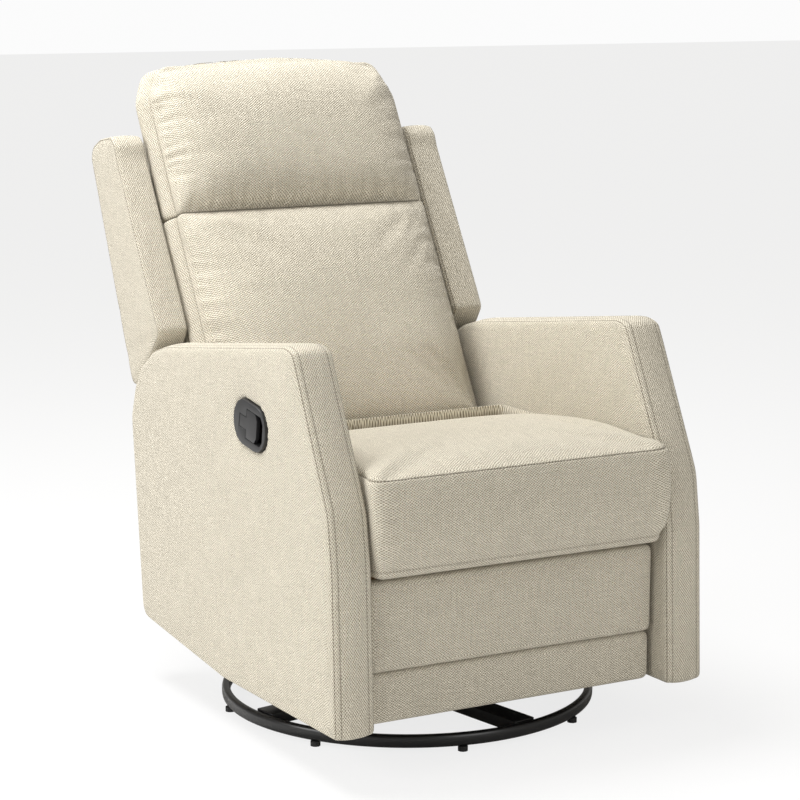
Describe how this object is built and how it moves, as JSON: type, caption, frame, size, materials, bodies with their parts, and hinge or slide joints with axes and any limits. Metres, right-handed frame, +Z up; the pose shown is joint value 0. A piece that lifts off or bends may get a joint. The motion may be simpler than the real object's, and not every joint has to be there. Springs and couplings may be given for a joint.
{
  "type": "swivel glider recliner chair",
  "caption": "Upholstered nursery armchair that swivels on a round steel base, glides on hanging links, and reclines with a fold-out leg rest released by a side handle.",
  "frame": {"origin": "on the floor under the middle of the overall size; the swivel axis stands 0.109 m in front of it", "axes": "+Z up; the sitter faces -Y; the release handle is on the -X side"},
  "size_m": [0.673, 0.9624, 1.0478],
  "materials": {
    "oatmeal_fabric": "matte",
    "black_steel": "satin",
    "zinc_steel": "satin",
    "pine": "matte",
    "charcoal_plastic": "matte",
    "black_rubber": "matte"
  },
  "bodies": {
    "base": {"base_ring": "black_steel", "base_cross": "black_steel", "swivel_hub": "zinc_steel", "foot_1": "black_rubber", "foot_2": "black_rubber", "foot_3": "black_rubber", "foot_4": "black_rubber", "foot_5": "black_rubber", "foot_6": "black_rubber", "foot_7": "black_rubber", "foot_8": "black_rubber"},
    "swivel": {"swivel_plate": "black_steel", "kingpin": "zinc_steel", "glide_bracket_left": "black_steel", "glide_bracket_right": "black_steel"},
    "glide_front": {"glide_link_front_left": "zinc_steel", "glide_link_front_right": "zinc_steel"},
    "glide_rear": {"glide_link_rear_left": "zinc_steel", "glide_link_rear_right": "zinc_steel"},
    "carrier": {"glide_hanger_left": "black_steel", "glide_hanger_right": "black_steel", "mechanism_plate_left": "black_steel", "mechanism_plate_right": "black_steel", "cross_tube_front": "black_steel", "cross_tube_rear": "black_steel", "seat_rail_front": "pine", "seat_rail_rear": "pine", "seat_spring_1": "zinc_steel", "seat_spring_2": "zinc_steel", "seat_spring_3": "zinc_steel", "seat_cushion": "oatmeal_fabric", "arm_left": "oatmeal_fabric", "arm_right": "oatmeal_fabric", "handle_bezel": "charcoal_plastic", "handle_pin": "zinc_steel", "release_cable": "black_rubber"},
    "handle": {"release_paddle": "charcoal_plastic"},
    "leg_drive": {"leg_drive_link_left": "zinc_steel", "leg_drive_link_right": "zinc_steel", "leg_torque_tube": "zinc_steel"},
    "leg_guide": {"leg_guide_link_left": "zinc_steel", "leg_guide_link_right": "zinc_steel"},
    "leg_arms": {"leg_arm_left": "black_steel", "leg_arm_right": "black_steel"},
    "footrest": {"footrest_bracket_left": "black_steel", "footrest_bracket_right": "black_steel", "footrest_board": "pine", "footrest_pad": "oatmeal_fabric"},
    "backrest": {"lumbar_cushion": "oatmeal_fabric", "head_cushion": "oatmeal_fabric", "back_post_left": "pine", "back_post_right": "pine", "back_bottom_rail": "pine", "head_board": "pine", "back_cap": "oatmeal_fabric", "rear_panel": "oatmeal_fabric", "recline_bracket_left": "zinc_steel", "recline_bracket_right": "zinc_steel", "wing_left": "oatmeal_fabric", "wing_right": "oatmeal_fabric"}
  },
  "joints": [
    {"name": "swivel", "type": "hinge", "parent": "base", "child": "swivel", "pos_m": [0, -0.10917, 0.04], "axis": [0, 0, 1], "continuous": true},
    {"name": "glide", "type": "slide", "parent": "swivel", "child": "carrier", "axis": [0, 1, 0], "range_m": [-0.036, 0.036], "stiffness_N_per_m": 4600},
    {"name": "glide_link_front_swing", "type": "hinge", "parent": "swivel", "child": "glide_front", "pos_m": [0, -0.21917, 0.225], "axis": [1, 0, 0], "range_deg": [-15, 15]},
    {"name": "glide_link_rear_swing", "type": "hinge", "parent": "swivel", "child": "glide_rear", "pos_m": [0, 0.04083, 0.225], "axis": [1, 0, 0], "range_deg": [-15, 15]},
    {"name": "recline", "type": "hinge", "parent": "carrier", "child": "backrest", "pos_m": [0, 0.09583, 0.335], "axis": [-1, 0, 0], "range_deg": [0, 35]},
    {"name": "leg_rest", "type": "hinge", "parent": "carrier", "child": "leg_drive", "pos_m": [0, -0.23917, 0.262], "axis": [-1, 0, 0], "range_deg": [0, 98]},
    {"name": "leg_guide_swing", "type": "hinge", "parent": "carrier", "child": "leg_guide", "pos_m": [0, -0.16917, 0.262], "axis": [-1, 0, 0], "range_deg": [0, 98]},
    {"name": "leg_elbow", "type": "hinge", "parent": "leg_drive", "child": "leg_arms", "pos_m": [0, -0.14917, 0.10612], "axis": [-1, 0, 0], "range_deg": [-98, 0]},
    {"name": "footrest_turn", "type": "hinge", "parent": "leg_arms", "child": "footrest", "pos_m": [0, -0.39917, 0.19], "axis": [-1, 0, 0], "range_deg": [0, 90]},
    {"name": "handle_pull", "type": "hinge", "parent": "carrier", "child": "handle", "pos_m": [-0.3345, -0.17847, 0.51374], "axis": [0, 0.1392, -0.9903], "range_deg": [0, 28], "stiffness_Nm_per_rad": 0.5}
  ],
  "couplings": [
    {"joint": "glide_link_front_swing", "follows": "glide", "rad_per_m": 7.1429},
    {"joint": "glide_link_rear_swing", "follows": "glide", "rad_per_m": 7.1429},
    {"joint": "leg_guide_swing", "follows": "leg_rest", "ratio": 1},
    {"joint": "leg_elbow", "follows": "leg_rest", "ratio": -1},
    {"joint": "footrest_turn", "follows": "leg_rest", "ratio": 0.91837}
  ]
}
